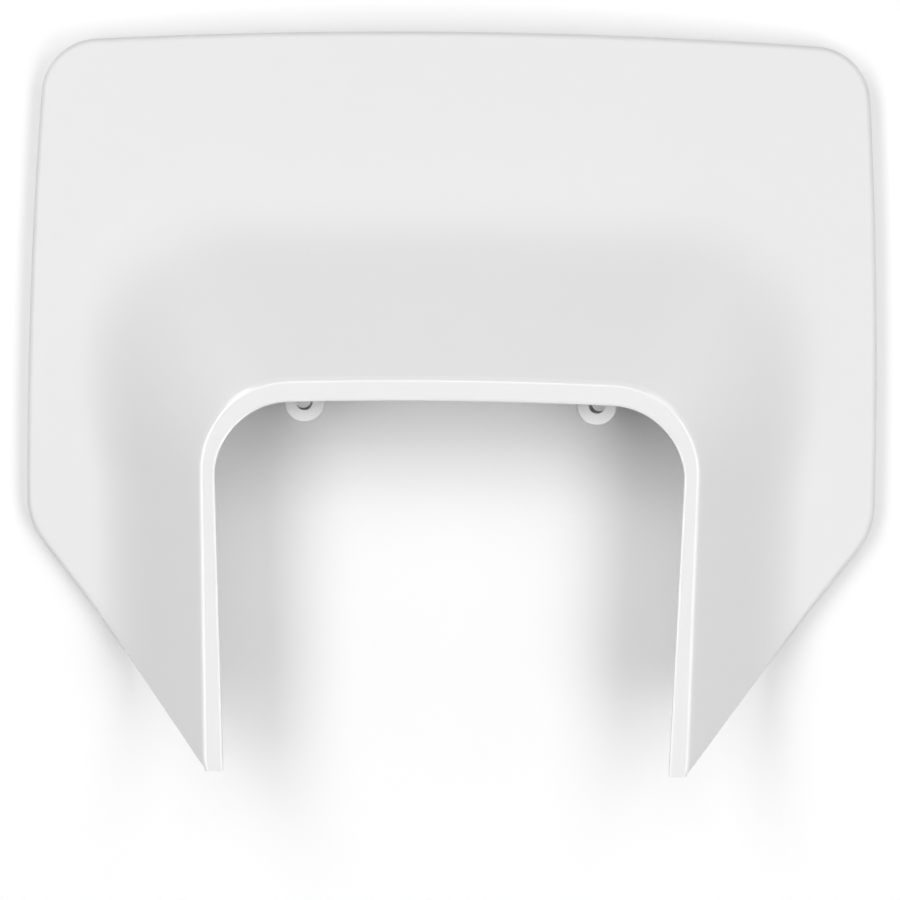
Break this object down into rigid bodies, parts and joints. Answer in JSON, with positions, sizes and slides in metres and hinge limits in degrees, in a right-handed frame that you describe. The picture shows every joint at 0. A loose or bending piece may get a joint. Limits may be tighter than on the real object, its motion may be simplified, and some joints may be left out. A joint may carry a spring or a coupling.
{
  "type": "front number plate",
  "caption": "Moulded front number plate for a motorbike: arched top, raked lower edges, hood with a flat lip round a U-shaped headlamp cut-out, and screw bosses behind the lip.",
  "frame": {"origin": "middle of the overall width and height, in the plane that the rim rests on", "axes": "+X to the right seen from the front, +Y towards the arched top edge, +Z out of the face; it lies face up"},
  "size_m": [0.285, 0.246, 0.044],
  "materials": {
    "white_plastic": "white moulded plastic, smooth and glossy"
  },
  "bodies": {
    "root": {"number_plate": "white_plastic"}
  },
  "joints": []
}
